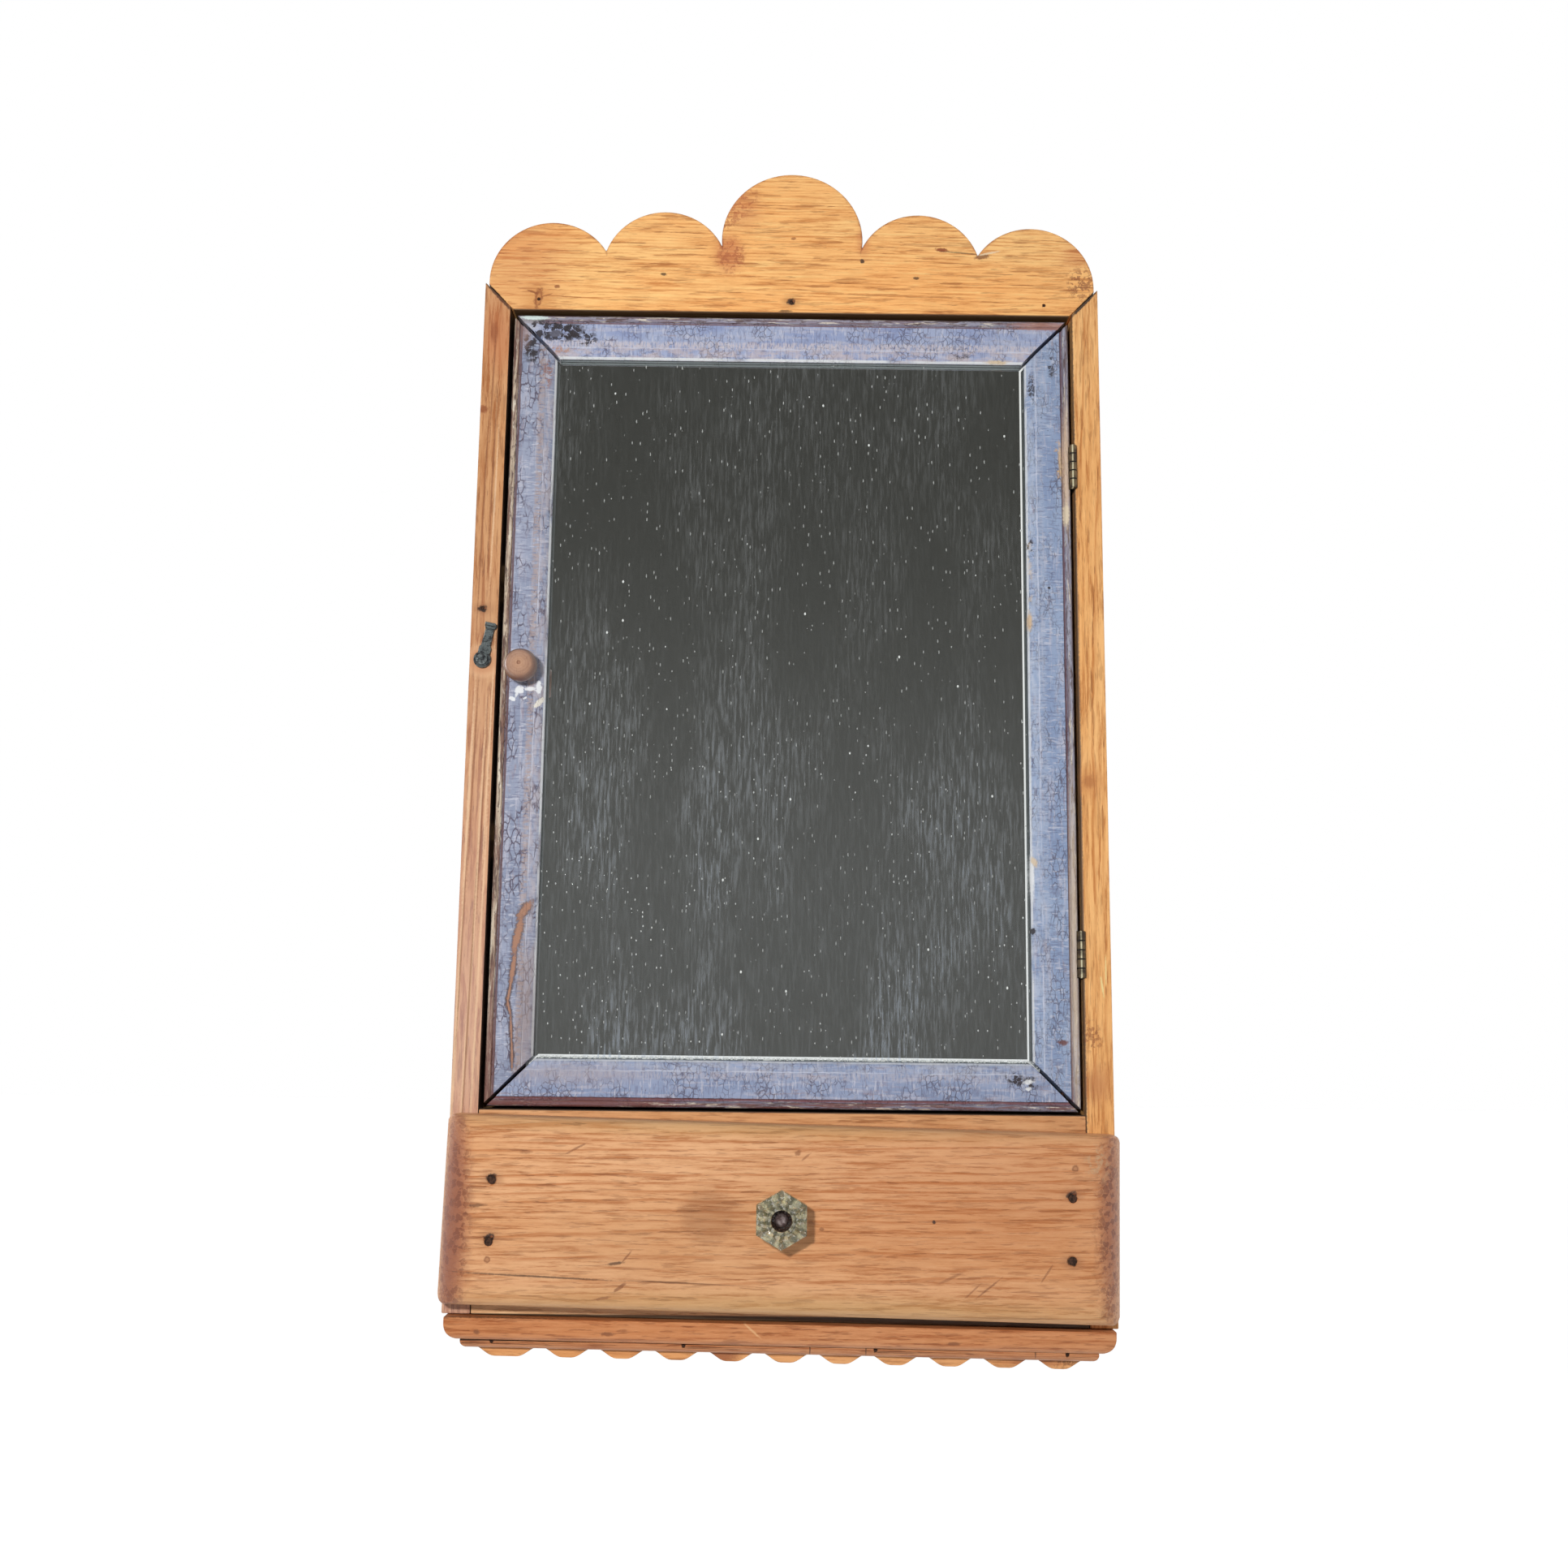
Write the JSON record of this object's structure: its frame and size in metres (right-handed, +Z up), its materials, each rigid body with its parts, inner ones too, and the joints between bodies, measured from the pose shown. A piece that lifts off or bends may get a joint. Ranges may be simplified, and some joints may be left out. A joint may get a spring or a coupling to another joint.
{
  "type": "medicine cabinet",
  "caption": "Wall-hung pine medicine cabinet with a scalloped crown, a bevelled mirror in a painted door, a turn button, a drawer with a glass knob and a scalloped apron.",
  "frame": {"origin": "midway between the two wall screws, on the wall", "axes": "+X a viewer's right, +Y into the wall, +Z up"},
  "size_m": [0.3446, 0.1803, 0.6459],
  "materials": {
    "pine": "aged planed pine, unfinished inside",
    "front_pine": "stripped pine with an old satin wax, nail marks and small knots",
    "back_wood": "rough old softwood",
    "blue_paint": "old lavender-blue paint over pine, worn to cream and bare wood at the edges",
    "mirror": "silvered glass with a bevelled edge, dusty and streaked",
    "old_brass": "darkened brass, rubbed bright along the barrel",
    "black_iron": "black cast iron with a dull sheen",
    "nail_steel": "dull steel with a little rust",
    "knob_wood": "turned wood, satin, worn",
    "knob_glass": "pressed glass with an olive tint"
  },
  "bodies": {
    "case": {"left_side": "pine", "right_side": "pine", "top_board": "pine", "bottom_board": "pine", "divider_board": "pine", "back_plank_left": "back_wood", "back_plank_centre": "back_wood", "back_plank_right": "back_wood", "hanging_rail": "pine", "shelf_upper": "pine", "shelf_lower": "pine", "shelf_cleats": "back_wood", "drawer_guides": "back_wood", "left_stile": "front_pine", "right_stile": "front_pine", "crown_board": "front_pine", "middle_rail": "front_pine", "bottom_rail": "front_pine", "base_board": "front_pine", "base_moulding": "front_pine", "scalloped_apron": "front_pine", "case_nails": "nail_steel", "back_nails": "nail_steel", "face_nails": "nail_steel", "base_nails": "nail_steel", "moulding_brads": "nail_steel", "upper_hinge_case_leaf": "old_brass", "lower_hinge_case_leaf": "old_brass", "upper_hinge_pin": "old_brass", "lower_hinge_pin": "old_brass", "case_hinge_screws": "old_brass", "latch_screw": "black_iron"},
    "door": {"door_top_rail": "blue_paint", "door_bottom_rail": "blue_paint", "door_left_stile": "blue_paint", "door_right_stile": "blue_paint", "door_corner_nails": "nail_steel", "mirror_glass": "mirror", "mirror_backing": "back_wood", "mirror_strips": "back_wood", "strip_brads": "nail_steel", "upper_hinge_door_leaf": "old_brass", "lower_hinge_door_leaf": "old_brass", "door_hinge_screws": "old_brass", "door_knob": "knob_wood", "door_knob_screw": "nail_steel"},
    "turn_button": {"turn_button": "black_iron"},
    "drawer": {"drawer_front": "front_pine", "drawer_left_side": "back_wood", "drawer_right_side": "back_wood", "drawer_back": "back_wood", "drawer_bottom": "back_wood", "drawer_front_nails": "nail_steel", "drawer_back_nails": "nail_steel", "glass_knob": "knob_glass", "glass_knob_bolt": "black_iron", "glass_knob_nut": "black_iron"}
  },
  "joints": [
    {"name": "door_swing", "type": "hinge", "parent": "case", "child": "door", "pos_m": [0.1554, -0.1412, -0.19], "axis": [0, 0, 1], "range_deg": [0, 170]},
    {"name": "drawer_slide", "type": "slide", "parent": "case", "child": "drawer", "axis": [0, -1, 0], "range_m": [0, 0.09]},
    {"name": "latch_turn", "type": "hinge", "parent": "case", "child": "turn_button", "pos_m": [-0.16375, -0.1417, -0.1778], "axis": [0, -1, 0], "range_deg": [-64, 240]}
  ]
}
